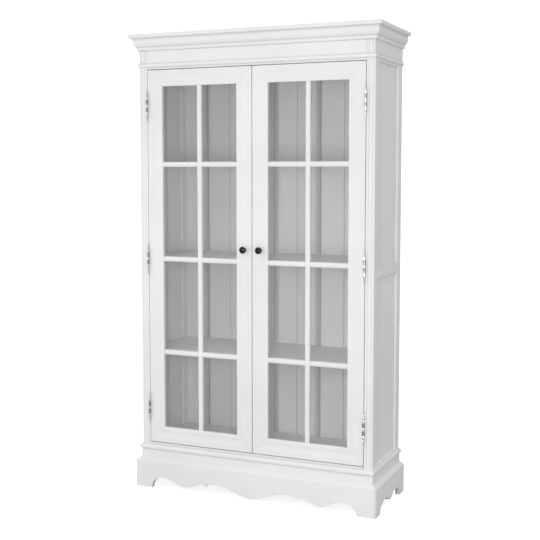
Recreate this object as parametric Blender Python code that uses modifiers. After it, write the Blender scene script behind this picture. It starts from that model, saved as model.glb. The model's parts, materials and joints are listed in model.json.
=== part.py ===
"""Tall painted display cabinet with two glazed doors, built as its separate joinery pieces.

Metres, +Z up. The origin is on the floor, midway across the width and midway between the
front of the cornice and the back. Each door swings on the line of its three hinges.
"""

import math

import bmesh
import bpy
from mathutils import Matrix, Vector

# Overall sizes
BODY_WIDTH = 1.0475
BODY_DEPTH = 0.37
HEIGHT = 1.95

# Fits
GAP = 0.0003
OVERRUN = 0.01
WELD = 0.00001
EASED_EDGE = 0.001
FLAT_ANGLE = math.radians(0.1)

# Cornice: what it overhangs the body by, and its own section
CORNICE_OVERHANG = 0.036
CORNICE_HEIGHT = 0.069
CORNICE_PROFILE_SHARES = (
    (0.88, 0.0), (0.96, 0.02), (1.0, 0.07), (1.0, 0.17), (0.97, 0.225), (0.90, 0.25),
    (0.67, 0.255), (0.64, 0.285), (0.635, 0.33), (0.65, 0.40), (0.645, 0.48), (0.63, 0.55),
    (0.585, 0.61), (0.515, 0.67), (0.44, 0.725), (0.35, 0.765), (0.285, 0.775), (0.28, 0.80),
    (0.30, 0.85), (0.30, 0.91), (0.28, 0.965), (0.21, 0.985), (0.18, 1.0),
)

# Frieze boards under the cornice, with a half-round bead along the foot
FRIEZE_HEIGHT = 0.0698
FRIEZE_PROUD = 0.0012
FRIEZE_BACK = 0.018
FRIEZE_BEAD_HEIGHT = 0.0165
FRIEZE_BEAD_PROUD = 0.0065
FRIEZE_LINE_WIDTH = 0.0024
FRIEZE_LINE_DEPTH = 0.0014
SIDE_HEAD_DROP = 0.009
TOP_THICKNESS = 0.018
TOP_LEDGE = 0.010

# Base: a framed moulding on which the posts stand, and the shaped boards fixed to it
BASE_TOP = 0.1865
TORUS_HEIGHT = 0.022
TORUS_PROUD = 0.012
TORUS_SEAT = 0.003
BAND_PROUD = 0.005
SILL_HEIGHT = 0.0092
BASE_LEG_BOTTOM = 0.065
BASE_LEG_THICKNESS = 0.020
APRON_OVERHANG = 0.025
APRON_TOP = 0.132
APRON_CHAMFER = 0.0144
APRON_CORNER = 0.006
FOOT_WIDTH_FRONT = 0.080
FOOT_WIDTH_SIDE = 0.060
ARCH_HEIGHT = 0.050

# Aprons: across as a share of half the arch, height as a share of the arch's height
FRONT_APRON_KNOT_SHARES = (
    ("rise", 0.879, 1.0), ("wave", 0.655, 0.38), ("sweep", 0.4915, 0.88),
    ("line", 0.447, 0.66), ("rise", 0.345, 0.98), ("wave", 0.0, 0.20),
)
SIDE_APRON_KNOT_SHARES = (
    ("rise", 0.86, 0.66), ("line", 0.74, 0.68), ("rise", 0.49, 0.95), ("wave", 0.0, 0.45),
)
CURVE_STEPS = 8
SWEEP_POWER = 1.5

# Posts
POST_FACE = 0.035
POST_DEPTH = 0.050
POST_STEP = 0.024
POST_EDGE_ROUND = 0.0015
POST_NEAR_LINE = 0.0109
POST_FAR_LINE = 0.0278
POST_LINE_WIDTH = 0.0032
POST_LINE_DEPTH = 0.0010
POST_LIP_PROUD = 0.0022
POST_LIP_DEPTH = 0.008
POST_LIP_ROUND = 0.0024

# Side frames
SIDE_THICKNESS = 0.028
PANEL_THICKNESS = 0.010
PANEL_RECESS = 0.0105
GROOVE_DEPTH = 0.007
MID_RAIL_HEIGHT = 0.044
BOTTOM_RAIL_HEIGHT = 0.011
BOTTOM_RAIL_FACE = 0.004

# Back, floor and shelves
BACK_THICKNESS = 0.008
BACK_REBATE = 0.010
BACK_BOARD_WIDTH = 0.1097
BACK_BOARD_COUNT = 9
BACK_SEAM = 0.0022
BACK_SEAM_DEPTH = 0.004
FLOOR_THICKNESS = 0.012
SHELF_THICKNESS = 0.016
SHELF_HOUSING = 0.006
SHELF_SPACING = 0.4030

# Doors
DOOR_THICKNESS = 0.022
DOOR_MEMBER = 0.069
DOOR_GAP = 0.0023
DOOR_MEETING_GAP = 0.003
DOOR_BOTTOM_GAP = 0.003
DOOR_HEAD_GAP = 0.003
DOOR_HEAD_DROP = 0.0084
DOOR_EDGE_ROUND = 0.0015
DOOR_LINE_START = 0.0055
DOOR_LINE_WIDTH = 0.0085
DOOR_LINE_DEPTH = 0.0009
DOOR_LEDGE_START = 0.017
DOOR_LEDGE_WIDTH = 0.005
DOOR_FLAT_RELIEF = 0.0015
DOOR_COVE_WIDTH = 0.006
DOOR_COVE_STEPS = 6
DOOR_CREST_WIDTH = 0.007
DOOR_BEVEL_WIDTH = 0.008
DOOR_BEVEL_FOOT = 0.0022
GLASS_THICKNESS = 0.004
GLASS_FRONT = 0.014
GLASS_IN_GROOVE = 0.005
MUNTIN_WIDTH = 0.022
MUNTIN_CREST = DOOR_BEVEL_FOOT
MUNTIN_SHOULDER = 0.009
MUNTIN_STEPS = 8

# Hinges
HINGE_INSET = 0.150
HINGE_BARREL = 0.080
HINGE_KNUCKLES = 5
HINGE_RADIUS = 0.005
HINGE_PIN_RADIUS = 0.0020
HINGE_BORE_RADIUS = 0.0026
HINGE_WALL_BITE = 0.0006
HINGE_FINIAL = 0.028
HINGE_LEAF_THICKNESS = 0.0007
HINGE_LEAF_DEPTH = 0.018
HINGE_SIDES = 12
FINIAL_SHARES = (
    (0.0, 0.0), (0.03, 0.34), (0.09, 0.50), (0.18, 0.26), (0.28, 0.54), (0.36, 0.62),
    (0.47, 0.32), (0.58, 0.72), (0.69, 0.86), (0.83, 0.48), (0.92, 0.84),
)
KNUCKLE_SHARES = ((0.0, 0.70), (0.10, 0.90), (0.28, 1.0), (0.72, 1.0), (0.90, 0.90), (1.0, 0.70))

# Knobs
KNOB_RISE = 0.0508
KNOB_INSET = 0.034
KNOB_RADIUS = 0.0145
KNOB_LENGTH = 0.027
KNOB_SIDES = 24
KNOB_SHARES = (
    (0.0, 1.0), (0.40, 0.985), (0.74, 0.91), (0.94, 0.79), (1.0, 0.66), (0.93, 0.54), (0.66, 0.44),
    (0.42, 0.37), (0.36, 0.24), (0.42, 0.13), (0.60, 0.09), (0.60, 0.0), (0.0, 0.0),
)

# Magnetic catch behind the frieze and the strike plate on each door
CATCH_LENGTH = 0.076
CATCH_DEPTH = 0.014
CATCH_DROP = 0.022
CATCH_RISE = 0.026
STRIKE_WIDTH = 0.022
STRIKE_HEIGHT = 0.014
STRIKE_THICKNESS = 0.0012
STRIKE_INSET = 0.008

# Places worked out from the sizes above
HALF_WIDTH = BODY_WIDTH / 2
FACE_Y = CORNICE_OVERHANG - (BODY_DEPTH + CORNICE_OVERHANG) / 2
BACK_Y = FACE_Y + BODY_DEPTH
MIDDLE_Y = (FACE_Y + BACK_Y) / 2
POST_INNER = HALF_WIDTH - POST_FACE
POST_LINES = (POST_NEAR_LINE, POST_FAR_LINE)
SIDE_INNER = HALF_WIDTH - SIDE_THICKNESS
SIDE_FIELD_HALF = BODY_DEPTH / 2 - POST_DEPTH
CORNICE_BOTTOM = HEIGHT - CORNICE_HEIGHT
FRIEZE_BOTTOM = CORNICE_BOTTOM - FRIEZE_HEIGHT
POST_BOTTOM = BASE_TOP + GAP
POST_TOP = FRIEZE_BOTTOM - GAP
DOOR_BOTTOM = BASE_TOP + SILL_HEIGHT + DOOR_BOTTOM_GAP
DOOR_TOP = FRIEZE_BOTTOM - DOOR_HEAD_DROP - DOOR_HEAD_GAP
DOOR_INNER = DOOR_MEETING_GAP / 2
DOOR_OUTER = POST_INNER - DOOR_GAP
DOOR_CENTRE = (DOOR_INNER + DOOR_OUTER) / 2
DOOR_HALF_WIDTH = (DOOR_OUTER - DOOR_INNER) / 2
DOOR_MIDDLE = (DOOR_BOTTOM + DOOR_TOP) / 2
DOOR_HALF_HEIGHT = (DOOR_TOP - DOOR_BOTTOM) / 2
KNOB_LEVEL = DOOR_MIDDLE + KNOB_RISE
MIDDLE_SHELF_TOP = DOOR_MIDDLE + MUNTIN_WIDTH / 2
SHELF_TOPS = (MIDDLE_SHELF_TOP - SHELF_SPACING, MIDDLE_SHELF_TOP, MIDDLE_SHELF_TOP + SHELF_SPACING)
MID_RAIL_TOP = MIDDLE_SHELF_TOP - SHELF_THICKNESS - GAP
HINGE_LEVELS = (DOOR_BOTTOM + HINGE_INSET, DOOR_MIDDLE, DOOR_TOP - HINGE_INSET)
HINGE_X = POST_INNER - DOOR_GAP / 2
HINGE_Y = FACE_Y - HINGE_RADIUS - GAP
TOP_BOTTOM = HEIGHT - TOP_THICKNESS
INSIDE_BACK_Y = BACK_Y - BACK_THICKNESS

# Finishes: colour, roughness and metallic
WHITE_PAINT = ((0.80, 0.80, 0.79), 0.42, 0.0)
CLEAR_GLASS = ((0.86, 0.90, 0.89), 0.05, 0.0)
HINGE_METAL = ((0.62, 0.62, 0.60), 0.30, 1.0)
DARK_BRONZE = ((0.020, 0.017, 0.015), 0.38, 0.8)
CATCH_PLASTIC = ((0.70, 0.70, 0.68), 0.45, 0.0)
STEEL_PLATE = ((0.55, 0.55, 0.54), 0.35, 1.0)

# The way outward from each face, as the local X, Y and Z axes of a section that runs along it
FRONT_RUN = ((0, -1, 0), (0, 0, 1), (-1, 0, 0))
RIGHT_RUN = ((1, 0, 0), (0, 0, 1), (0, -1, 0))
LEFT_RUN = ((-1, 0, 0), (0, 0, 1), (0, 1, 0))

# The same for a board that is cut to an outline and faces outward along its local Z
FRONT_BOARD = ((1, 0, 0), (0, 0, 1), (0, -1, 0))
RIGHT_BOARD = ((0, 1, 0), (0, 0, 1), (1, 0, 0))
LEFT_BOARD = ((0, -1, 0), (0, 0, 1), (-1, 0, 0))

# Door members: local X points away from the door's middle and local Y to the front
DOOR_MEMBER_AXES = {
    "top_rail": ((0, 0, 1), (0, -1, 0), (1, 0, 0)),
    "bottom_rail": ((0, 0, -1), (0, -1, 0), (-1, 0, 0)),
    "right_stile": ((1, 0, 0), (0, -1, 0), (0, 0, -1)),
    "left_stile": ((-1, 0, 0), (0, -1, 0), (0, 0, 1)),
}
UPRIGHT_BAR = ((1, 0, 0), (0, -1, 0), (0, 0, -1))
LEVEL_BAR = ((0, 0, 1), (0, -1, 0), (1, 0, 0))


def clear_scene():
    for thing in list(bpy.data.objects):
        bpy.data.objects.remove(thing, do_unlink=True)


def new_collection(name):
    collection = bpy.data.collections.new(name)
    bpy.context.scene.collection.children.link(collection)
    return collection


clear_scene()
PARTS = new_collection("display_cabinet")
CUTTERS = new_collection("cutters")


def give_finish(thing, finish):
    colour, roughness, metallic = finish
    material = bpy.data.materials.new(thing.name)
    material.use_nodes = True
    shader = material.node_tree.nodes["Principled BSDF"]
    shader.inputs["Base Color"].default_value = (*colour, 1.0)
    shader.inputs["Roughness"].default_value = roughness
    shader.inputs["Metallic"].default_value = metallic
    thing.data.materials.clear()
    thing.data.materials.append(material)


def placement(axes, location):
    """The matrix that lays local X, Y and Z along the three given directions."""
    turned = Matrix([Vector(axis) for axis in axes]).transposed()
    return Matrix.Translation(location) @ turned.to_4x4()


def flat_outline(name, points, half_thickness):
    """A closed outline in local X and Y, filled and extruded along local Z."""
    curve = bpy.data.curves.new(name, "CURVE")
    curve.dimensions = "2D"
    curve.fill_mode = "BOTH"
    curve.extrude = half_thickness
    spline = curve.splines.new("POLY")
    spline.points.add(len(points) - 1)
    for point, (across, up) in zip(spline.points, points):
        point.co = (across, up, 0, 1)
    spline.use_cyclic_u = True
    thing = bpy.data.objects.new(name, curve)
    PARTS.objects.link(thing)
    return thing


def as_mesh(curve_object):
    """Turn a curve into a closed mesh object in the same place, and remove the curve."""
    name = curve_object.name
    bpy.context.view_layer.update()
    evaluated = curve_object.evaluated_get(bpy.context.evaluated_depsgraph_get())
    mesh = bpy.data.meshes.new_from_object(evaluated)
    work = bmesh.new()
    work.from_mesh(mesh)
    bmesh.ops.remove_doubles(work, verts=work.verts, dist=WELD)
    bmesh.ops.recalc_face_normals(work, faces=work.faces)
    work.to_mesh(mesh)
    work.free()
    world = curve_object.matrix_world.copy()
    bpy.data.objects.remove(curve_object, do_unlink=True)
    solid = bpy.data.objects.new(name, mesh)
    solid.matrix_world = world
    PARTS.objects.link(solid)
    return solid


def extrusion(name, points, half_length, axes, location, finish):
    """An outline in local X and Y, drawn out along local Z, as a mesh object."""
    outline = flat_outline(name, points, half_length)
    outline.matrix_world = placement(axes, location)
    solid = as_mesh(outline)
    give_finish(solid, finish)
    return solid


def slide_ends(solid, mitred_signs):
    """Mitre a section: each end point moves along the run by how far out it lies."""
    for vertex in solid.data.vertices:
        sign = 1 if vertex.co.z > 0 else -1
        if sign in mitred_signs:
            vertex.co.z += sign * vertex.co.x


def add_bevel(thing, width, segments):
    bevel = thing.modifiers.new("eased_edges", "BEVEL")
    bevel.width = width
    bevel.segments = segments
    bevel.limit_method = "ANGLE"


def box(name, low, high, collection):
    """A box between two corners, with its origin at its middle."""
    low = Vector(low)
    high = Vector(high)
    mesh = bpy.data.meshes.new(name)
    work = bmesh.new()
    bmesh.ops.create_cube(work, size=1)
    bmesh.ops.scale(work, vec=high - low, verts=work.verts)
    work.to_mesh(mesh)
    work.free()
    thing = bpy.data.objects.new(name, mesh)
    thing.location = (low + high) / 2
    collection.objects.link(thing)
    return thing


def board(name, low, high, finish, edge=EASED_EDGE):
    thing = box(name, low, high, PARTS)
    give_finish(thing, finish)
    if edge:
        add_bevel(thing, edge, 1)
    return thing


def turned(name, profile, sides, axes, location, collection, closed=False):
    """A profile of (radius, height) points, top to bottom, turned about local Z."""
    mesh = bpy.data.meshes.new(name)
    work = bmesh.new()
    points = [work.verts.new((radius, 0, height)) for radius, height in profile]
    for first, second in zip(points, points[1:]):
        work.edges.new((first, second))
    if closed:
        work.edges.new((points[-1], points[0]))
    work.to_mesh(mesh)
    work.free()
    thing = bpy.data.objects.new(name, mesh)
    screw = thing.modifiers.new("turn", "SCREW")
    screw.steps = sides
    screw.render_steps = sides
    screw.use_merge_vertices = True
    screw.merge_threshold = WELD
    thing.matrix_world = placement(axes, location)
    collection.objects.link(thing)
    return thing


def combine(thing, other, operation):
    """Cut or join another object, which becomes a hidden helper."""
    if other.name in PARTS.objects:
        PARTS.objects.unlink(other)
        CUTTERS.objects.link(other)
    other.hide_render = True
    other.display_type = "WIRE"
    boolean = thing.modifiers.new(other.name, "BOOLEAN")
    boolean.operation = operation
    boolean.object = other


def cut_box(thing, low, high, label):
    combine(thing, box(thing.name + "_" + label, low, high, CUTTERS), "DIFFERENCE")


def mirrored_corners(side, low, high):
    """The two corners of a box given for the right side, moved to the given side."""
    if side > 0:
        return low, high
    return (-high[0], low[1], low[2]), (-low[0], high[1], high[2])


def half_round(low_out, crest_out, high_out, bottom, top):
    """Points of a bead from its foot over its crest to its head."""
    middle = (bottom + top) / 2
    points = []
    for step in range(CURVE_STEPS + 1):
        turn = math.pi * step / CURVE_STEPS - math.pi / 2
        base = low_out if turn < 0 else high_out
        out = base + (crest_out - base) * math.cos(turn)
        points.append((out, middle + (top - bottom) / 2 * math.sin(turn)))
    return points


def curve_between(start, end, style):
    """Points after start up to end, in the style of an apron's edge."""
    if style == "line":
        return [end]
    points = []
    for step in range(1, CURVE_STEPS + 1):
        part = step / CURVE_STEPS
        across = part
        up = part
        if style == "wave":
            up = (1 - math.cos(math.pi * part)) / 2
        if style == "sweep":
            up = part ** SWEEP_POWER
        if style == "rise":
            across = 1 - math.cos(math.pi / 2 * part)
            up = math.sin(math.pi / 2 * part)
        points.append((start[0] + (end[0] - start[0]) * across, start[1] + (end[1] - start[1]) * up))
    return points


def half_arch(half_span, knot_shares):
    """The lower edge from a foot's inner corner to the middle of the apron."""
    points = [(half_span, 0)]
    for style, across_share, height_share in knot_shares:
        knot = (half_span * across_share, ARCH_HEIGHT * height_share)
        points += curve_between(points[-1], knot, style)
    return points


def apron(name, half_run, middle, low_foot, high_foot, knot_shares, axes, location, mitred_signs):
    """A shaped board: its ends meet the corner, its top slopes out and its foot is scrolled."""
    foot_gap = (2 * half_run - low_foot - high_foot) / 2
    half = half_arch(foot_gap, knot_shares)
    lower_edge = [(middle - across, up) for across, up in half]
    lower_edge += [(middle + across, up) for across, up in reversed(half[:-1])]
    points = [(-half_run, APRON_TOP), (-half_run, 0)] + lower_edge + [(half_run, 0), (half_run, APRON_TOP)]
    inner = BAND_PROUD + GAP
    centre_out = (APRON_OVERHANG + inner) / 2
    half_thickness = (APRON_OVERHANG - inner) / 2
    solid = extrusion(name, points, half_thickness, axes, location, WHITE_PAINT)
    for vertex in solid.data.vertices:
        if vertex.co.z > 0 and vertex.co.y > APRON_TOP - WELD:
            vertex.co.y -= APRON_CHAMFER
        sign = 1 if vertex.co.x > 0 else -1
        if sign in mitred_signs and abs(vertex.co.x) > half_run - WELD:
            vertex.co.x += sign * (centre_out + vertex.co.z - GAP / 2)
    solid.matrix_world = solid.matrix_world @ Matrix.Translation((0, 0, centre_out))
    return solid


def trim_corner(solid, side):
    """Take off the sharp upright corner where two aprons meet."""
    outer = HALF_WIDTH + APRON_OVERHANG - APRON_CORNER / 2
    front = FACE_Y - APRON_OVERHANG + APRON_CORNER / 2
    to_local = solid.matrix_world.inverted()
    place = to_local @ Vector((side * outer, front, 0))
    outward = to_local.to_3x3() @ Vector((side, -1, 0)).normalized()
    work = bmesh.new()
    work.from_mesh(solid.data)
    bmesh.ops.dissolve_limit(work, angle_limit=FLAT_ANGLE, verts=work.verts, edges=work.edges)
    everything = [*work.verts, *work.edges, *work.faces]
    cut = bmesh.ops.bisect_plane(work, geom=everything, plane_co=place, plane_no=outward, clear_outer=True)
    rim = [item for item in cut["geom_cut"] if isinstance(item, bmesh.types.BMEdge)]
    bmesh.ops.holes_fill(work, edges=rim)
    bmesh.ops.remove_doubles(work, verts=work.verts, dist=WELD)
    bmesh.ops.recalc_face_normals(work, faces=work.faces)
    work.to_mesh(solid.data)
    work.free()


def build_aprons():
    """Front and side boards of the base, whose scrolled lower edges leave the feet."""
    corner_foot = FOOT_WIDTH_FRONT - APRON_OVERHANG
    front = apron("apron_front", HALF_WIDTH, 0, corner_foot, corner_foot, FRONT_APRON_KNOT_SHARES,
                  FRONT_BOARD, (0, FACE_Y, 0), (-1, 1))
    near_foot = FOOT_WIDTH_SIDE - APRON_OVERHANG
    shift = (near_foot - FOOT_WIDTH_SIDE) / 2
    half_depth = BODY_DEPTH / 2
    right = apron("apron_right", half_depth, shift, near_foot, FOOT_WIDTH_SIDE, SIDE_APRON_KNOT_SHARES,
                  RIGHT_BOARD, (HALF_WIDTH, MIDDLE_Y, 0), (-1,))
    left = apron("apron_left", half_depth, -shift, FOOT_WIDTH_SIDE, near_foot, SIDE_APRON_KNOT_SHARES,
                 LEFT_BOARD, (-HALF_WIDTH, MIDDLE_Y, 0), (1,))
    for side_apron, side in ((left, -1), (right, 1)):
        trim_corner(front, side)
        trim_corner(side_apron, side)


def run_round(stem, front_section, side_section):
    """The same moulding along the front and both sides, mitred at the front corners."""
    clear = GAP / 2
    front = extrusion(stem + "_front", front_section, HALF_WIDTH - clear, FRONT_RUN,
                      (0, FACE_Y, 0), WHITE_PAINT)
    slide_ends(front, (-1, 1))
    sides = []
    for name, sign, axes, front_end in (("_left", -1, LEFT_RUN, -1), ("_right", 1, RIGHT_RUN, 1)):
        side = extrusion(stem + name, side_section, BODY_DEPTH / 2, axes,
                         (sign * HALF_WIDTH, MIDDLE_Y, 0), WHITE_PAINT)
        slide_ends(side, (front_end,))
        pull_back(side, front_end, clear)
        sides.append(side)
    return front, sides


def pull_back(solid, end_sign, amount):
    """Shorten one end of a section, to leave room at its mitre."""
    for vertex in solid.data.vertices:
        if vertex.co.z * end_sign > 0:
            vertex.co.z -= end_sign * amount


def base_section(flange_depth, sill_height):
    """The base moulding in section: leg, band, torus and the ledge that carries the posts."""
    torus_bottom = BASE_TOP - TORUS_HEIGHT
    section = [(BAND_PROUD - BASE_LEG_THICKNESS, BASE_LEG_BOTTOM), (BAND_PROUD, BASE_LEG_BOTTOM)]
    section += half_round(BAND_PROUD, TORUS_PROUD, TORUS_SEAT, torus_bottom, BASE_TOP)
    if sill_height:
        sill_top = BASE_TOP + sill_height
        section += [(0, BASE_TOP), (0, sill_top), (-POST_STEP, sill_top), (-POST_STEP, BASE_TOP)]
    section += [(-flange_depth, BASE_TOP), (-flange_depth, torus_bottom)]
    section += [(BAND_PROUD - BASE_LEG_THICKNESS, torus_bottom)]
    return section


def build_base():
    """The frame of the base: torus edge, a sill between the posts and a plain rail at the back."""
    front_section = base_section(POST_DEPTH, SILL_HEIGHT)
    front, _ = run_round("base_moulding", front_section, base_section(SIDE_THICKNESS, 0))
    for word, side in (("left", -1), ("right", 1)):
        low = (POST_INNER - GAP, FACE_Y - OVERRUN, BASE_TOP)
        high = (HALF_WIDTH + OVERRUN, FACE_Y + POST_STEP + OVERRUN, BASE_TOP + SILL_HEIGHT + OVERRUN)
        low, high = mirrored_corners(side, low, high)
        cut_box(front, low, high, "sill_notch_" + word)
    board("base_rear_rail", (-SIDE_INNER + GAP, BACK_Y - BASE_LEG_THICKNESS, BASE_LEG_BOTTOM),
          (SIDE_INNER - GAP, BACK_Y, BASE_TOP), WHITE_PAINT)


def post_front_points():
    """Across the face of a front post, from the door to the lip at the outer corner."""
    half_line = POST_LINE_WIDTH / 2
    lip = POST_FACE + POST_LIP_PROUD
    near_round = POST_EDGE_ROUND / 3
    lip_round = POST_LIP_ROUND / 3
    points = [(0, POST_EDGE_ROUND), (near_round, near_round), (POST_EDGE_ROUND, 0)]
    for place in POST_LINES:
        points += [(place - half_line, 0), (place, POST_LINE_DEPTH), (place + half_line, 0)]
    points += [(lip - POST_LIP_ROUND, 0), (lip - lip_round, lip_round), (lip, POST_LIP_ROUND)]
    return points + [(lip, POST_LIP_DEPTH - POST_LIP_ROUND), (POST_FACE, POST_LIP_DEPTH)]


def panel_groove(edge, way):
    """Depths and places of the groove that holds a side panel, across the side's thickness."""
    outer = HALF_WIDTH - PANEL_RECESS + GAP
    inner = outer - PANEL_THICKNESS - 2 * GAP
    bottom = edge + way * GROOVE_DEPTH
    return [(outer, edge), (outer, bottom), (inner, bottom), (inner, edge)]


def front_post_outline(side):
    rear = FACE_Y + POST_DEPTH
    step = FACE_Y + POST_STEP
    points = [(POST_INNER + across, FACE_Y + depth) for across, depth in post_front_points()]
    points += [(HALF_WIDTH, rear)]
    points += panel_groove(rear, -1)
    points += [(SIDE_INNER, rear), (SIDE_INNER, step), (POST_INNER, step)]
    return [(side * across, depth) for across, depth in points]


def rear_post_outline(side):
    front = BACK_Y - POST_DEPTH
    points = [(SIDE_INNER, front)]
    points += reversed(panel_groove(front, 1))
    points += [(HALF_WIDTH, front), (HALF_WIDTH, BACK_Y), (SIDE_INNER + BACK_REBATE, BACK_Y)]
    points += [(SIDE_INNER + BACK_REBATE, INSIDE_BACK_Y), (SIDE_INNER, INSIDE_BACK_Y)]
    return [(side * across, depth) for across, depth in points]


def upright(name, points):
    """A post: a plan outline drawn out between the base and the frieze."""
    middle = (POST_BOTTOM + POST_TOP) / 2
    half_height = (POST_TOP - POST_BOTTOM) / 2
    axes = ((1, 0, 0), (0, 1, 0), (0, 0, 1))
    return extrusion(name, points, half_height, axes, (0, 0, middle), WHITE_PAINT)


def cut_housings(post, side, near, far):
    """The grooves across a post's inner face that hold the ends of the shelves."""
    depth = SIDE_INNER + SHELF_HOUSING + GAP
    for number, shelf_top in enumerate(SHELF_TOPS, start=1):
        low = (SIDE_INNER - OVERRUN, near, shelf_top - SHELF_THICKNESS - GAP)
        high = (depth, far, shelf_top + GAP)
        low, high = mirrored_corners(side, low, high)
        cut_box(post, low, high, "housing_%d" % number)


def build_posts():
    for word, side in (("left", -1), ("right", 1)):
        front = upright("front_post_" + word, front_post_outline(side))
        cut_housings(front, side, FACE_Y + POST_STEP - GAP, FACE_Y + POST_DEPTH + OVERRUN)
        rear = upright("rear_post_" + word, rear_post_outline(side))
        cut_housings(rear, side, BACK_Y - POST_DEPTH - OVERRUN, INSIDE_BACK_Y)


def side_rail(name, side, bottom, height, face_height):
    """A rail between the posts of a side: above its face it slopes back to the panel."""
    outer = -PANEL_RECESS + GAP
    inner = outer - PANEL_THICKNESS - 2 * GAP
    top = bottom + height
    section = [(0, bottom), (0, bottom + face_height), (outer, top), (outer, top - GROOVE_DEPTH)]
    section += [(inner, top - GROOVE_DEPTH), (inner, top), (-SIDE_THICKNESS, top), (-SIDE_THICKNESS, bottom)]
    if face_height == height:
        section += [(inner, bottom), (inner, bottom + GROOVE_DEPTH)]
        section += [(outer, bottom + GROOVE_DEPTH), (outer, bottom)]
    axes = RIGHT_RUN if side > 0 else LEFT_RUN
    location = (side * HALF_WIDTH, MIDDLE_Y, 0)
    return extrusion(name, section, SIDE_FIELD_HALF - GAP, axes, location, WHITE_PAINT)


def side_panel(name, side, bottom, top):
    outer = HALF_WIDTH - PANEL_RECESS
    reach = SIDE_FIELD_HALF + GROOVE_DEPTH - GAP
    low = (outer - PANEL_THICKNESS, MIDDLE_Y - reach, bottom)
    high = (outer, MIDDLE_Y + reach, top)
    low, high = mirrored_corners(side, low, high)
    board(name, low, high, WHITE_PAINT, edge=0)


def build_sides():
    """The rails and panels that fill each side between its posts."""
    tongue = GROOVE_DEPTH - GAP
    mid_rail_bottom = MID_RAIL_TOP - MID_RAIL_HEIGHT
    bottom_rail_top = POST_BOTTOM + BOTTOM_RAIL_HEIGHT
    for word, side in (("left", -1), ("right", 1)):
        side_rail("side_bottom_rail_" + word, side, POST_BOTTOM, BOTTOM_RAIL_HEIGHT, BOTTOM_RAIL_FACE)
        side_rail("side_mid_rail_" + word, side, mid_rail_bottom, MID_RAIL_HEIGHT, MID_RAIL_HEIGHT)
        side_panel("side_lower_panel_" + word, side, bottom_rail_top - tongue, mid_rail_bottom + tongue)
        side_panel("side_upper_panel_" + word, side, MID_RAIL_TOP - tongue, POST_TOP)


def frieze_section(tongue_bottom, tongue_back):
    """A frieze board in section: tongue below, bead at its foot, flat face above."""
    bead_top = FRIEZE_BOTTOM + FRIEZE_BEAD_HEIGHT
    top = CORNICE_BOTTOM - GAP
    section = [(0, tongue_bottom)]
    section += half_round(0, FRIEZE_BEAD_PROUD, FRIEZE_PROUD, FRIEZE_BOTTOM, bead_top)
    section += [(FRIEZE_PROUD, top), (-FRIEZE_BACK, top)]
    if tongue_back < FRIEZE_BACK:
        ledge = FRIEZE_BOTTOM + GAP
        section += [(-FRIEZE_BACK, ledge), (-tongue_back, ledge)]
    section += [(-tongue_back, tongue_bottom)]
    return section


def build_frieze():
    """Boards over the posts, whose lower tongues drop between them."""
    front_section = frieze_section(FRIEZE_BOTTOM - DOOR_HEAD_DROP, FRIEZE_BACK)
    side_section = frieze_section(FRIEZE_BOTTOM - SIDE_HEAD_DROP, PANEL_RECESS - GAP)
    front, sides = run_round("frieze", front_section, side_section)
    lowest = FRIEZE_BOTTOM - SIDE_HEAD_DROP - OVERRUN
    for word, side in (("left", -1), ("right", 1)):
        low = (POST_INNER - GAP, FACE_Y - OVERRUN, lowest)
        high = (HALF_WIDTH + OVERRUN, FACE_Y + FRIEZE_BACK + OVERRUN, FRIEZE_BOTTOM)
        low, high = mirrored_corners(side, low, high)
        cut_box(front, low, high, "notch_" + word)
    for board_piece, side in zip(sides, (-1, 1)):
        for label, near, far in (
            ("front_notch", FACE_Y - OVERRUN, FACE_Y + POST_DEPTH + GAP),
            ("rear_notch", BACK_Y - POST_DEPTH - GAP, BACK_Y + OVERRUN),
        ):
            low = (HALF_WIDTH - FRIEZE_BACK - OVERRUN, near, lowest)
            high = (HALF_WIDTH + OVERRUN, far, FRIEZE_BOTTOM)
            low, high = mirrored_corners(side, low, high)
            cut_box(board_piece, low, high, label)
    cut_block_lines(front)


def cut_block_lines(front):
    """Upright lines that set off a block over each front post and carry up the lines of its face."""
    low_z = FRIEZE_BOTTOM + FRIEZE_BEAD_HEIGHT
    face = FACE_Y - FRIEZE_PROUD
    for word, side in (("left", -1), ("right", 1)):
        for number, place in enumerate((0, *POST_LINES), start=1):
            near = POST_INNER + place - FRIEZE_LINE_WIDTH / 2
            low = (near, face - OVERRUN, low_z)
            high = (near + FRIEZE_LINE_WIDTH, face + FRIEZE_LINE_DEPTH, CORNICE_BOTTOM)
            low, high = mirrored_corners(side, low, high)
            cut_box(front, low, high, "line_%s_%d" % (word, number))


def cornice_section():
    section = [(CORNICE_OVERHANG * out_share, HEIGHT - CORNICE_HEIGHT * down_share)
               for out_share, down_share in CORNICE_PROFILE_SHARES]
    ledge = TOP_BOTTOM - GAP
    section += [(-FRIEZE_BACK, CORNICE_BOTTOM), (-FRIEZE_BACK, ledge)]
    section += [(TOP_LEDGE - FRIEZE_BACK, ledge), (TOP_LEDGE - FRIEZE_BACK, HEIGHT)]
    return section


def build_top():
    """The cornice and the top board that lies in its rebate."""
    run_round("cornice", cornice_section(), cornice_section())
    edge = HALF_WIDTH - FRIEZE_BACK + TOP_LEDGE - GAP
    board("top_board", (-edge, FACE_Y + FRIEZE_BACK - TOP_LEDGE + GAP, TOP_BOTTOM),
          (edge, BACK_Y, HEIGHT), WHITE_PAINT, edge=0)


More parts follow.
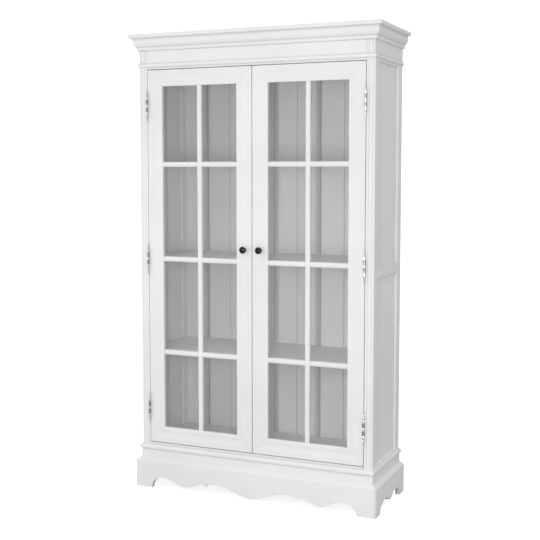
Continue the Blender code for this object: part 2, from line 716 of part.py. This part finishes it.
def back_outline():
    """The back in plan: boards side by side, with a V at each seam on the inside."""
    half = SIDE_INNER + BACK_REBATE - GAP
    first = -BACK_BOARD_WIDTH * BACK_BOARD_COUNT / 2
    points = [(-half, BACK_Y), (-half, INSIDE_BACK_Y)]
    for number in range(1, BACK_BOARD_COUNT):
        seam = first + number * BACK_BOARD_WIDTH
        points += [(seam - BACK_SEAM, INSIDE_BACK_Y), (seam, INSIDE_BACK_Y + BACK_SEAM_DEPTH)]
        points += [(seam + BACK_SEAM, INSIDE_BACK_Y)]
    return points + [(half, INSIDE_BACK_Y), (half, BACK_Y)]


def build_inside():
    """The back, the floor and the shelves."""
    low_z = BASE_TOP + GAP
    high_z = TOP_BOTTOM - GAP
    front = FACE_Y + POST_STEP + GAP
    rear = INSIDE_BACK_Y - GAP
    axes = ((1, 0, 0), (0, 1, 0), (0, 0, 1))
    extrusion("back_panel", back_outline(), (high_z - low_z) / 2, axes,
              (0, 0, (low_z + high_z) / 2), WHITE_PAINT)
    edge = SIDE_INNER - GAP
    board("floor_board", (-edge, front, low_z), (edge, rear, low_z + FLOOR_THICKNESS), WHITE_PAINT)
    edge = SIDE_INNER + SHELF_HOUSING
    for word, shelf_top in zip(("lower", "middle", "upper"), SHELF_TOPS):
        low = (-edge, front, shelf_top - SHELF_THICKNESS)
        high = (edge, rear, shelf_top)
        board("shelf_" + word, low, high, WHITE_PAINT)


def door_section():
    """A door member in section: local X is 0 at the door's outer edge, local Y is 0 at the face."""
    line_middle = DOOR_LINE_START + DOOR_LINE_WIDTH / 2
    ledge_end = DOOR_LEDGE_START + DOOR_LEDGE_WIDTH
    bevel_start = DOOR_MEMBER - DOOR_BEVEL_WIDTH
    cove_start = bevel_start - DOOR_CREST_WIDTH - DOOR_COVE_WIDTH
    glass_back = GLASS_FRONT + GLASS_THICKNESS + GAP
    groove = DOOR_MEMBER - GLASS_IN_GROOVE - GAP
    points = [(0, DOOR_EDGE_ROUND), (DOOR_EDGE_ROUND / 3, DOOR_EDGE_ROUND / 3), (DOOR_EDGE_ROUND, 0)]
    points += [(DOOR_LINE_START, 0), (line_middle, DOOR_LINE_DEPTH), (DOOR_LINE_START + DOOR_LINE_WIDTH, 0)]
    points += [(DOOR_LEDGE_START, 0), (ledge_end, DOOR_FLAT_RELIEF)]
    for step in range(DOOR_COVE_STEPS + 1):
        part = step / DOOR_COVE_STEPS
        depth = DOOR_FLAT_RELIEF * (1 + math.cos(math.pi * part)) / 2
        points.append((cove_start + DOOR_COVE_WIDTH * part, depth))
    points += [
        (bevel_start, 0), (DOOR_MEMBER, DOOR_BEVEL_FOOT),
        (DOOR_MEMBER, GLASS_FRONT - GAP), (groove, GLASS_FRONT - GAP), (groove, glass_back),
        (DOOR_MEMBER, glass_back), (DOOR_MEMBER, DOOR_THICKNESS), (0, DOOR_THICKNESS),
    ]
    return [(-across, -depth) for across, depth in points]


def door_member(name, member, centre_x):
    """A stile or rail of a door, mitred at both ends."""
    axes = DOOR_MEMBER_AXES[member]
    outward = Vector(axes[0])
    half_size = Vector((DOOR_HALF_WIDTH, 0, DOOR_HALF_HEIGHT))
    reach = abs(outward.x) * half_size.x + abs(outward.z) * half_size.z
    half_run = abs(outward.z) * half_size.x + abs(outward.x) * half_size.z
    location = Vector((centre_x, FACE_Y, DOOR_MIDDLE)) + outward * reach
    solid = extrusion(name, door_section(), half_run - GAP / 2, axes, location, WHITE_PAINT)
    slide_ends(solid, (-1, 1))
    return solid


def muntin_section():
    """A glazing bar in section: flat on the glass, rounded in front."""
    half = MUNTIN_WIDTH / 2
    back = GLASS_FRONT - GAP
    rise = MUNTIN_SHOULDER - MUNTIN_CREST
    points = [(half, -back)]
    for step in range(MUNTIN_STEPS + 1):
        turn = math.pi * step / MUNTIN_STEPS
        points.append((half * math.cos(turn), rise * math.sin(turn) - MUNTIN_SHOULDER))
    return points + [(-half, -back)]


def glazing_bar(name, axes, centre, half_opening):
    """A bar across the opening, whose crest meets the foot of the door's bevel."""
    return extrusion(name, muntin_section(), half_opening - GAP, axes, centre, WHITE_PAINT)


def build_grid(name, centre_x):
    """One upright bar joined to the level bars that stand in front of the shelves."""
    half_height = DOOR_HALF_HEIGHT - DOOR_MEMBER
    half_width = DOOR_HALF_WIDTH - DOOR_MEMBER
    grid = glazing_bar(name, UPRIGHT_BAR, (centre_x, FACE_Y, DOOR_MIDDLE), half_height)
    for number, shelf_top in enumerate(SHELF_TOPS, start=1):
        centre = (centre_x, FACE_Y, shelf_top - MUNTIN_WIDTH / 2)
        bar = glazing_bar("%s_bar_%d" % (name, number), LEVEL_BAR, centre, half_width)
        combine(grid, bar, "UNION")
    return grid


def build_glass(name, centre_x):
    reach_x = DOOR_HALF_WIDTH - DOOR_MEMBER + GLASS_IN_GROOVE
    reach_z = DOOR_HALF_HEIGHT - DOOR_MEMBER + GLASS_IN_GROOVE
    front = FACE_Y + GLASS_FRONT
    return board(name, (centre_x - reach_x, front, DOOR_MIDDLE - reach_z),
                 (centre_x + reach_x, front + GLASS_THICKNESS, DOOR_MIDDLE + reach_z), CLEAR_GLASS, edge=0)


def build_knob(name, side):
    """A turned knob that stands on the flat of the meeting stile."""
    profile = [(KNOB_RADIUS * radius_share, KNOB_LENGTH * length_share)
               for radius_share, length_share in KNOB_SHARES]
    seat = FACE_Y + DOOR_FLAT_RELIEF - GAP
    location = (side * (DOOR_INNER + KNOB_INSET), seat, KNOB_LEVEL)
    axes = ((1, 0, 0), (0, 0, 1), (0, -1, 0))
    knob = turned(name, profile, KNOB_SIDES, axes, location, PARTS)
    give_finish(knob, DARK_BRONZE)
    knob.data.shade_smooth()
    return knob


def build_strike(name, side):
    near = DOOR_INNER + STRIKE_INSET
    back = FACE_Y + DOOR_THICKNESS + GAP
    top = DOOR_TOP - STRIKE_THICKNESS
    low = (near, back, top - STRIKE_HEIGHT)
    high = (near + STRIKE_WIDTH, back + STRIKE_THICKNESS, top)
    low, high = mirrored_corners(side, low, high)
    return board(name, low, high, STEEL_PLATE, edge=0)


def build_catch():
    """A double magnetic catch fixed behind the frieze, its face against the strikes."""
    face = FACE_Y + DOOR_THICKNESS + 2 * GAP + STRIKE_THICKNESS
    seat = FACE_Y + FRIEZE_BACK + GAP
    head = FRIEZE_BOTTOM - DOOR_HEAD_DROP
    rear = face + CATCH_DEPTH
    points = [(seat, head), (face, head), (face, head - CATCH_DROP), (rear, head - CATCH_DROP)]
    points += [(rear, head + CATCH_RISE), (seat, head + CATCH_RISE)]
    axes = ((0, 1, 0), (0, 0, 1), (1, 0, 0))
    extrusion("magnetic_catch", points, CATCH_LENGTH / 2, axes, (0, 0, 0), CATCH_PLASTIC)


def knuckle_ends(number):
    """The bottom and top of one knuckle, about the middle of the barrel."""
    length = HINGE_BARREL / HINGE_KNUCKLES
    bottom = number * length - HINGE_BARREL / 2
    return bottom, bottom + length


def pin_profile():
    """The pin with the fixed knuckles and a finial at each end, top to bottom."""
    half = HINGE_BARREL / 2
    profile = [(HINGE_RADIUS * radius_share, half + HINGE_FINIAL * (1 - length_share))
               for length_share, radius_share in FINIAL_SHARES]
    for number in reversed(range(HINGE_KNUCKLES)):
        bottom, top = knuckle_ends(number)
        if number % 2:
            profile += [(HINGE_PIN_RADIUS, top), (HINGE_PIN_RADIUS, bottom)]
        else:
            profile += [(HINGE_RADIUS * radius_share, top - (top - bottom) * length_share)
                        for length_share, radius_share in KNUCKLE_SHARES]
    profile += [(HINGE_RADIUS * radius_share, -half - HINGE_FINIAL * (1 - length_share))
                for length_share, radius_share in reversed(FINIAL_SHARES)]
    return profile


def leaf_outline(own_knuckles, tab_start):
    """A leaf seen from the side: a plate behind the face with a tab to each of its knuckles."""
    plate_start = HINGE_RADIUS + GAP
    plate_end = plate_start + HINGE_LEAF_DEPTH
    half = HINGE_BARREL / 2
    points = [(plate_end, -half), (plate_start, -half)]
    for number in own_knuckles:
        bottom, top = knuckle_ends(number)
        bottom += 2 * GAP
        top -= 2 * GAP
        points += [(plate_start, bottom), (tab_start, bottom), (tab_start, top), (plate_start, top)]
    return points + [(plate_start, half), (plate_end, half)]


def build_leaf(name, side, offset, own_knuckles, tab_start, level):
    """A thin plate in the gap between post and door, on its own side of the hinge line."""
    axes = ((0, 1, 0), (0, 0, 1), (1, 0, 0))
    location = (side * (HINGE_X + offset), HINGE_Y, level)
    points = leaf_outline(own_knuckles, tab_start)
    return extrusion(name, points, HINGE_LEAF_THICKNESS / 2, axes, location, HINGE_METAL)


def build_hinge(stem, side, level):
    """A butt hinge: the fixed half holds the pin, the other half turns on it with the door."""
    axes = ((1, 0, 0), (0, 1, 0), (0, 0, 1))
    location = (side * HINGE_X, HINGE_Y, level)
    offset = (HINGE_LEAF_THICKNESS + GAP) / 2
    fixed = turned(stem + "_post_leaf", pin_profile(), HINGE_SIDES, axes, location, PARTS)
    give_finish(fixed, HINGE_METAL)
    fixed_numbers = [number for number in range(HINGE_KNUCKLES) if number % 2 == 0]
    fixed_plate = build_leaf(stem + "_post_plate", side, offset, fixed_numbers, HINGE_PIN_RADIUS / 2, level)
    combine(fixed, fixed_plate, "UNION")
    fixed.data.shade_smooth()
    door_numbers = [number for number in range(HINGE_KNUCKLES) if number % 2]
    tab_start = HINGE_BORE_RADIUS + HINGE_WALL_BITE
    moving = build_leaf(stem + "_door_leaf", side, -offset, door_numbers, tab_start, level)
    for number in door_numbers:
        bottom, top = knuckle_ends(number)
        ring_profile = [(HINGE_RADIUS, top - GAP), (HINGE_RADIUS, bottom + GAP)]
        ring_profile += [(HINGE_BORE_RADIUS, bottom + GAP), (HINGE_BORE_RADIUS, top - GAP)]
        ring = turned("%s_knuckle_%d" % (stem, number), ring_profile, HINGE_SIDES, axes, location,
                      CUTTERS, closed=True)
        combine(moving, ring, "UNION")
    return moving


def parent_to(empty, pieces):
    """Hang pieces on an empty without moving them."""
    for piece in pieces:
        piece.parent = empty
        piece.matrix_parent_inverse = empty.matrix_world.inverted()


def hinge_line(name, side):
    """An empty on the line that a door turns about."""
    empty = bpy.data.objects.new(name, None)
    empty.location = (side * HINGE_X, HINGE_Y, DOOR_MIDDLE)
    PARTS.objects.link(empty)
    bpy.context.view_layer.update()
    return empty


def build_door(word, side):
    """A glazed door with its knob, its strike and its halves of the hinges."""
    stem = "door_" + word
    centre_x = side * DOOR_CENTRE
    outer = "right_stile" if side > 0 else "left_stile"
    inner = "left_stile" if side > 0 else "right_stile"
    pieces = [
        door_member(stem + "_hinge_stile", outer, centre_x),
        door_member(stem + "_meeting_stile", inner, centre_x),
        door_member(stem + "_top_rail", "top_rail", centre_x),
        door_member(stem + "_bottom_rail", "bottom_rail", centre_x),
        build_grid(stem + "_glazing_bars", centre_x),
        build_glass(stem + "_glass", centre_x),
        build_knob(stem + "_knob", side),
        build_strike(stem + "_strike", side),
    ]
    for place, level in zip(("bottom", "middle", "top"), HINGE_LEVELS):
        pieces.append(build_hinge("hinge_%s_%s" % (word, place), side, level))
    parent_to(hinge_line(stem + "_hinge_line", side), pieces)


def build_cabinet():
    build_aprons()
    build_base()
    build_posts()
    build_sides()
    build_frieze()
    build_top()
    build_inside()
    build_catch()
    build_door("left", -1)
    build_door("right", 1)


build_cabinet()
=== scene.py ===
"""A tall white display cabinet with two glazed doors, dressed on its packed construction model.

Metres, +Z up. Every painted board is rebuilt from its own solid with softly eased edges. The
glass, the turned knobs, the hinges, the catch and its strikes keep their solids and get finishes.
"""
import json
import math

import bmesh
import bpy
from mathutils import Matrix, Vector

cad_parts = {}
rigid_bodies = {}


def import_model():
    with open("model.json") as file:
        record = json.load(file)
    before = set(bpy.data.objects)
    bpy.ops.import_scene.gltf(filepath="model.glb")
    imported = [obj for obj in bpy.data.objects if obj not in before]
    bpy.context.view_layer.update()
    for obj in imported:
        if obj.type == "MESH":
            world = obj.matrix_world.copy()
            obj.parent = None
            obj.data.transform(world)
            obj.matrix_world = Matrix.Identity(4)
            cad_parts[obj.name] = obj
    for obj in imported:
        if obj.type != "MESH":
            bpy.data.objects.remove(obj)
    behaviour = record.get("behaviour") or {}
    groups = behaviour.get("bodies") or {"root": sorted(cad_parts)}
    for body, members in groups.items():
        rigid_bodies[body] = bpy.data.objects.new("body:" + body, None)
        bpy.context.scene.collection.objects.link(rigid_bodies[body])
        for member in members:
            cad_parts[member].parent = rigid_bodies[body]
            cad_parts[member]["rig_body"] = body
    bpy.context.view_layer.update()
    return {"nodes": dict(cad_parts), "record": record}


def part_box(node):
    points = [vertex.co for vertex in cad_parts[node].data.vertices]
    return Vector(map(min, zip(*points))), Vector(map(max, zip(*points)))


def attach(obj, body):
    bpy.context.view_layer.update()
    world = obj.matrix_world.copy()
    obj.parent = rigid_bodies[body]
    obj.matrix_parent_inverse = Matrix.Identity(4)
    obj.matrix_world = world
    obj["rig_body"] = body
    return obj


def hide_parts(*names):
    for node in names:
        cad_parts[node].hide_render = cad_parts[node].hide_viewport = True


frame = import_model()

NODES = frame["nodes"]
SUBPARTS = frame["record"]["subparts"]

# Camera: where it stands, how far it is turned and tilted in degrees, and what it shows
CAMERA_PLACE = (1.7332, -3.9465, 1.3762)
CAMERA_YAW = 23.609
CAMERA_PITCH = 4.692
CAMERA_LENS = 67.584
CAMERA_SENSOR = 36.0
CAMERA_SHIFT_Y = -0.03
LEVEL_TILT = 90.0

# Light: the surround's strength on things and its strength where the camera sees it
WORLD_STRENGTH = 0.74
BACKDROP_STRENGTH = 1.25
WHITE = (1.0, 1.0, 1.0)

# Lamps: place, what they face, width, height, power and colour
LAMPS = {
    "tall_strip": ((1.0, -3.15, 1.15), (0.0, -0.17, 1.15), 0.12, 1.2, 31.0, WHITE),
    "overhead": ((0.0, -5.2, 5.6), (0.0, -0.1, 0.9), 3.2, 2.4, 13.0, WHITE),
    "left_fill": ((-3.4, -2.6, 1.4), (-0.3, -0.17, 0.9), 1.6, 1.6, 27.0, WHITE),
}

# Floor: its half size, how far it lies below the feet, and its finish
FLOOR_HALF_SIZE = 14.0
FLOOR_SINK = 0.0004
FLOOR_SQUARES = 4
FLOOR_COLOUR = (0.60, 0.60, 0.60)
FLOOR_ROUGHNESS = 0.9
FLOOR_SPECULAR = 0.1
FLOOR_GLOW = 0.80

# Eased edges of painted wood, finer on the rear posts' narrow steps and the doors' mitred members
EDGE_ROUND = 0.0008
FINE_EDGE_ROUND = 0.0004
FINELY_EASED = ("rear_post", "door_")
EDGE_STEPS = 2
CREASE_ANGLE = math.radians(24.0)
FLAT_ANGLE = math.radians(0.4)
WELD = 0.00002

# Painted shade in creases: how far the occlusion test reaches, how open a surface is that stays plain,
# how dark the painted shade gets, and whether only the piece's own surface counts
CREASE_SHADE_SAMPLES = 8
PAINT_CREASE_SHADE = (0.008, 0.93, 0.87, True)
METAL_CREASE_SHADE = (0.0022, 0.75, 0.25, False)

# Paint: its colour in the low and high clouds, the scales of its noise and the depth of its marks
PAINT_LOW = (0.775, 0.775, 0.768)
PAINT_HIGH = (0.835, 0.835, 0.830)
PAINT_ROUGHNESS = (0.36, 0.50)
PAINT_SPECULAR = 0.42
CLOUD_SCALE = 3.0
CLOUD_DETAIL = 4.0
CLOUD_RANGE = (0.3, 0.7)
STROKE_SCALE = 240.0
STROKE_DETAIL = 3.0
STROKE_BUMP = (0.35, 0.0006)
PORE_SCALE = 900.0
FINE_DETAIL = 2.0
PORE_BUMP = (0.15, 0.0002)
NOISE_ROUGHNESS = 0.55

# How far noise is drawn out along X, Y or Z, so that it lies along a board's grain
EVEN = (1.0, 1.0, 1.0)
GRAINS = {"x": (0.06, 1.0, 1.0), "y": (1.0, 0.06, 1.0), "z": (1.0, 1.0, 0.06)}

# Glass: the tint of what it refracts and of the plain light that it lets through
GLASS_TINT = (0.945, 0.955, 0.95)
GLASS_CLEAR_TINT = (0.915, 0.925, 0.92)
GLASS_ROUGHNESS = 0.01
GLASS_INDEX = 1.5

# Metals and plastic: dark and light colour, low and high roughness, metallic and grain scale
METALS = {
    "hinge_pewter": ((0.66, 0.66, 0.65), (0.84, 0.84, 0.82), (0.22, 0.34), 1.0, 260.0),
    # a darker copy of the same pewter for the moving hinge leaves: painted shade, not real wear
    "hinge_pewter_painted_shade": ((0.24, 0.24, 0.235), (0.44, 0.44, 0.43), (0.30, 0.44), 1.0, 260.0),
    "knob_bronze": ((0.012, 0.010, 0.009), (0.034, 0.028, 0.024), (0.20, 0.30), 0.7, 180.0),
    "catch_plastic": ((0.64, 0.64, 0.62), (0.72, 0.72, 0.70), (0.42, 0.55), 0.0, 300.0),
    "strike_steel": ((0.48, 0.48, 0.47), (0.60, 0.60, 0.59), (0.25, 0.40), 1.0, 500.0),
}
METAL_PATCH_RANGE = (0.35, 0.65)
METAL_FINENESS = 6
METAL_BUMP = (0.25, 0.0002)

# The colour sockets of a colour Mix node
MIX_FIRST = 6
MIX_SECOND = 7
MIX_RESULT = 2


def new_material(name):
    material = bpy.data.materials.new(name)
    material.use_nodes = True
    tree = material.node_tree
    tree.nodes.clear()
    return material, tree


def node(tree, kind, **settings):
    made = tree.nodes.new(kind)
    for key, value in settings.items():
        setattr(made, key, value)
    return made


def linked(tree, source, target):
    tree.links.new(source, target)


def show(tree, shader_output, kind="ShaderNodeOutputMaterial"):
    """Send a shader to the tree's output."""
    linked(tree, shader_output, node(tree, kind).inputs["Surface"])


def blend(tree, factor, first, second):
    """One shader where the factor is 0 and another where it is 1."""
    mix = node(tree, "ShaderNodeMixShader")
    linked(tree, factor, mix.inputs["Fac"])
    linked(tree, first, mix.inputs[1])
    linked(tree, second, mix.inputs[2])
    return mix.outputs["Shader"]


def object_coordinates(tree):
    return node(tree, "ShaderNodeTexCoord").outputs["Object"]


def noise(tree, coordinates, stretch, scale, detail):
    """Noise on the object's own coordinates, drawn out by the given factors."""
    mapping = node(tree, "ShaderNodeMapping")
    mapping.inputs["Scale"].default_value = stretch
    linked(tree, coordinates, mapping.inputs["Vector"])
    texture = node(tree, "ShaderNodeTexNoise")
    texture.inputs["Scale"].default_value = scale
    texture.inputs["Detail"].default_value = detail
    texture.inputs["Roughness"].default_value = NOISE_ROUGHNESS
    linked(tree, mapping.outputs["Vector"], texture.inputs["Vector"])
    return texture.outputs["Fac"]


def ramp(tree, factor, places, low_colour, high_colour):
    """A colour that goes from low to high between two places of the factor."""
    made = node(tree, "ShaderNodeValToRGB")
    for element, place, colour in zip(made.color_ramp.elements, places, (low_colour, high_colour)):
        element.position = place
        element.color = (*colour, 1.0)
    linked(tree, factor, made.inputs["Fac"])
    return made.outputs["Color"]


def spread(tree, factor, low, high):
    """A factor between 0 and 1 as a value between low and high."""
    made = node(tree, "ShaderNodeMapRange")
    made.inputs["To Min"].default_value = low
    made.inputs["To Max"].default_value = high
    linked(tree, factor, made.inputs["Value"])
    return made.outputs["Result"]


def bump(tree, height, strength, distance, below=None):
    """A surface normal raised by the height, on top of another one if that is given."""
    made = node(tree, "ShaderNodeBump")
    made.inputs["Strength"].default_value = strength
    made.inputs["Distance"].default_value = distance
    linked(tree, height, made.inputs["Height"])
    if below is not None:
        linked(tree, below, made.inputs["Normal"])
    return made.outputs["Normal"]


def painted_crease_shade(tree, colour, reach, open_share, shade, own_surface):
    """Paint shade into a colour in creases, found by ambient occlusion of either the piece's own surface
    or of all that is near.
    """
    occlusion_shade = node(tree, "ShaderNodeAmbientOcclusion", samples=CREASE_SHADE_SAMPLES, only_local=own_surface)
    occlusion_shade.inputs["Distance"].default_value = reach
    level = node(tree, "ShaderNodeMapRange")
    level.inputs["From Min"].default_value = open_share
    level.inputs["To Min"].default_value = shade
    linked(tree, occlusion_shade.outputs["AO"], level.inputs["Value"])
    mix = node(tree, "ShaderNodeMix", data_type="RGBA", blend_type="MULTIPLY")
    mix.inputs["Factor"].default_value = 1.0
    linked(tree, colour, mix.inputs[MIX_FIRST])
    linked(tree, level.outputs["Result"], mix.inputs[MIX_SECOND])
    return mix.outputs[MIX_RESULT]


def paint(grain):
    """Satin white paint, brushed along the grain, with fine brush marks, faint clouding and painted
    shade in its creases.
    """
    material, tree = new_material("white_paint_" + grain)
    shader = node(tree, "ShaderNodeBsdfPrincipled")
    show(tree, shader.outputs["BSDF"])
    coordinates = object_coordinates(tree)
    clouds = noise(tree, coordinates, EVEN, CLOUD_SCALE, CLOUD_DETAIL)
    strokes = noise(tree, coordinates, GRAINS[grain], STROKE_SCALE, STROKE_DETAIL)
    pores = noise(tree, coordinates, GRAINS[grain], PORE_SCALE, FINE_DETAIL)
    colour = ramp(tree, clouds, CLOUD_RANGE, PAINT_LOW, PAINT_HIGH)
    # painted shade: the paint's colour is darkened in creases by ambient occlusion
    linked(tree, painted_crease_shade(tree, colour, *PAINT_CREASE_SHADE), shader.inputs["Base Color"])
    linked(tree, spread(tree, strokes, *PAINT_ROUGHNESS), shader.inputs["Roughness"])
    soft = bump(tree, strokes, *STROKE_BUMP)
    linked(tree, bump(tree, pores, *PORE_BUMP, below=soft), shader.inputs["Normal"])
    shader.inputs["Specular IOR Level"].default_value = PAINT_SPECULAR
    return material


def glass():
    """Clear float glass, faintly green, that lets lamps and bounced light straight through."""
    material, tree = new_material("float_glass")
    shader = node(tree, "ShaderNodeBsdfPrincipled")
    shader.inputs["Base Color"].default_value = (*GLASS_TINT, 1.0)
    shader.inputs["Roughness"].default_value = GLASS_ROUGHNESS
    shader.inputs["IOR"].default_value = GLASS_INDEX
    shader.inputs["Transmission Weight"].default_value = 1.0
    clear = node(tree, "ShaderNodeBsdfTransparent")
    clear.inputs["Color"].default_value = (*GLASS_CLEAR_TINT, 1.0)
    rays = node(tree, "ShaderNodeLightPath")
    shown = shader.outputs["BSDF"]
    for kind in ("Is Shadow Ray", "Is Diffuse Ray"):
        shown = blend(tree, rays.outputs[kind], shown, clear.outputs["BSDF"])
    show(tree, shown)
    return material


def metal(name):
    """Cast metal, or moulded plastic, with worn high spots, painted shade in its creases and a fine
    grain.
    """
    dark, light, roughness, metallic, grain_scale = METALS[name]
    material, tree = new_material(name)
    shader = node(tree, "ShaderNodeBsdfPrincipled")
    show(tree, shader.outputs["BSDF"])
    coordinates = object_coordinates(tree)
    patches = noise(tree, coordinates, EVEN, grain_scale, CLOUD_DETAIL)
    fine = noise(tree, coordinates, EVEN, grain_scale * METAL_FINENESS, FINE_DETAIL)
    colour = ramp(tree, patches, METAL_PATCH_RANGE, dark, light)
    # painted shade: the metal's colour is darkened in creases by ambient occlusion
    linked(tree, painted_crease_shade(tree, colour, *METAL_CREASE_SHADE), shader.inputs["Base Color"])
    linked(tree, spread(tree, fine, *roughness), shader.inputs["Roughness"])
    linked(tree, bump(tree, fine, *METAL_BUMP), shader.inputs["Normal"])
    shader.inputs["Metallic"].default_value = metallic
    return material


def grain_of(name):
    """The way a board's grain runs: along its longest side."""
    low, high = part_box(name)
    size = high - low
    longest = max(range(3), key=lambda axis: size[axis])
    return "xyz"[longest]


def cleaned_copy(name):
    """A node's solid as an unsplit mesh whose flat faces are whole."""
    mesh = NODES[name].data.copy()
    mesh.name = name + "_eased"
    work = bmesh.new()
    work.from_mesh(mesh)
    bmesh.ops.remove_doubles(work, verts=work.verts, dist=WELD)
    bmesh.ops.dissolve_limit(work, angle_limit=FLAT_ANGLE, verts=work.verts, edges=work.edges)
    bmesh.ops.recalc_face_normals(work, faces=work.faces)
    work.to_mesh(mesh)
    work.free()
    if mesh.has_custom_normals:
        mesh.attributes.remove(mesh.attributes["custom_normal"])
    return mesh


def eased(name, material, width):
    """A painted board with softly rounded edges that stands for its solid."""
    mesh = cleaned_copy(name)
    mesh.materials.clear()
    mesh.materials.append(material)
    piece = bpy.data.objects.new(name + "_painted", mesh)
    bpy.context.scene.collection.objects.link(piece)
    bevel = piece.modifiers.new("eased", "BEVEL")
    bevel.width = width
    bevel.segments = EDGE_STEPS
    bevel.limit_method = "ANGLE"
    bevel.angle_limit = CREASE_ANGLE
    mesh.shade_smooth()
    mesh.set_sharp_from_angle(angle=CREASE_ANGLE)
    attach(piece, NODES[name]["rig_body"])
    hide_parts(name)


def dress_wood():
    paints = {grain: paint(grain) for grain in GRAINS}
    for row in SUBPARTS:
        name = row["node"]
        if row["material_slot"] == "painted_wood":
            width = FINE_EDGE_ROUND if name.startswith(FINELY_EASED) else EDGE_ROUND
            eased(name, paints[grain_of(name)], width)


def refinish(name, material):
    """Give a node whose shape stays a better material."""
    for slot in NODES[name].material_slots:
        slot.material = material


def dress_metal_and_glass():
    """Finish the rest, with the moving hinge leaves in a darker copy of the same pewter: painted shade
    for the dark beads between the pale ones.
    """
    # painted shade: the moving leaves get a darker copy of the fixed leaves' pewter
    shaded_pewter = metal("hinge_pewter_painted_shade")
    finishes = {
        "window_glass": glass(),
        "hinge_metal": metal("hinge_pewter"),
        "knob_bronze": metal("knob_bronze"),
        "catch_plastic": metal("catch_plastic"),
        "strike_steel": metal("strike_steel"),
    }
    for row in SUBPARTS:
        name = row["node"]
        if name.endswith("_door_leaf"):
            refinish(name, shaded_pewter)
        elif row["material_slot"] in finishes:
            refinish(name, finishes[row["material_slot"]])


def seen_directly(tree):
    """A factor that is 1 for what the camera sees, plainly or through glass."""
    rays = node(tree, "ShaderNodeLightPath")
    either = node(tree, "ShaderNodeMath", operation="MAXIMUM")
    linked(tree, rays.outputs["Is Camera Ray"], either.inputs[0])
    linked(tree, rays.outputs["Is Transmission Ray"], either.inputs[1])
    return either.outputs["Value"]


def coloured(tree, kind, strength):
    """A white emission or background of the given strength."""
    made = node(tree, kind)
    made.inputs["Color"].default_value = (*WHITE, 1.0)
    made.inputs["Strength"].default_value = strength
    return made.outputs[0]


def floor_material():
    """A pale floor that shows white to the camera and still keeps the shadow on it."""
    material, tree = new_material("pale_floor")
    shader = node(tree, "ShaderNodeBsdfPrincipled")
    shader.inputs["Base Color"].default_value = (*FLOOR_COLOUR, 1.0)
    shader.inputs["Roughness"].default_value = FLOOR_ROUGHNESS
    shader.inputs["Specular IOR Level"].default_value = FLOOR_SPECULAR
    dark = coloured(tree, "ShaderNodeEmission", 0)
    glow = coloured(tree, "ShaderNodeEmission", FLOOR_GLOW)
    total = node(tree, "ShaderNodeAddShader")
    linked(tree, shader.outputs["BSDF"], total.inputs[0])
    linked(tree, blend(tree, seen_directly(tree), dark, glow), total.inputs[1])
    show(tree, total.outputs["Shader"])
    return material


def build_floor():
    mesh = bpy.data.meshes.new("studio_floor")
    work = bmesh.new()
    bmesh.ops.create_grid(work, x_segments=FLOOR_SQUARES, y_segments=FLOOR_SQUARES, size=FLOOR_HALF_SIZE)
    work.to_mesh(mesh)
    work.free()
    mesh.materials.append(floor_material())
    floor = bpy.data.objects.new("studio_floor", mesh)
    floor.location.z = -FLOOR_SINK
    bpy.context.scene.collection.objects.link(floor)


def build_world():
    """An even pale surround, which the camera sees as white, plainly and through glass."""
    world = bpy.data.worlds.new("studio")
    world.use_nodes = True
    tree = world.node_tree
    tree.nodes.clear()
    fill = coloured(tree, "ShaderNodeBackground", WORLD_STRENGTH)
    backdrop = coloured(tree, "ShaderNodeBackground", BACKDROP_STRENGTH)
    show(tree, blend(tree, seen_directly(tree), fill, backdrop), "ShaderNodeOutputWorld")
    bpy.context.scene.world = world


def area_light(name, place, target, width, height, power, colour):
    """A rectangular lamp that faces its target."""
    data = bpy.data.lights.new(name, "AREA")
    data.shape = "RECTANGLE"
    data.size = width
    data.size_y = height
    data.energy = power
    data.color = colour
    lamp = bpy.data.objects.new(name, data)
    lamp.location = place
    lamp.rotation_euler = (Vector(target) - Vector(place)).to_track_quat("-Z", "Y").to_euler()
    bpy.context.scene.collection.objects.link(lamp)


def build_lights():
    build_world()
    for name, values in LAMPS.items():
        area_light(name, *values)


def build_camera():
    data = bpy.data.cameras.new("photo_view")
    data.lens = CAMERA_LENS
    data.sensor_width = CAMERA_SENSOR
    data.shift_y = CAMERA_SHIFT_Y
    camera = bpy.data.objects.new("photo_view", data)
    camera.location = CAMERA_PLACE
    camera.rotation_euler = (math.radians(LEVEL_TILT - CAMERA_PITCH), 0, math.radians(CAMERA_YAW))
    bpy.context.scene.collection.objects.link(camera)
    bpy.context.scene.camera = camera


def set_view():
    bpy.context.scene.view_settings.view_transform = "Standard"


dress_wood()
dress_metal_and_glass()
build_floor()
build_lights()
build_camera()
set_view()
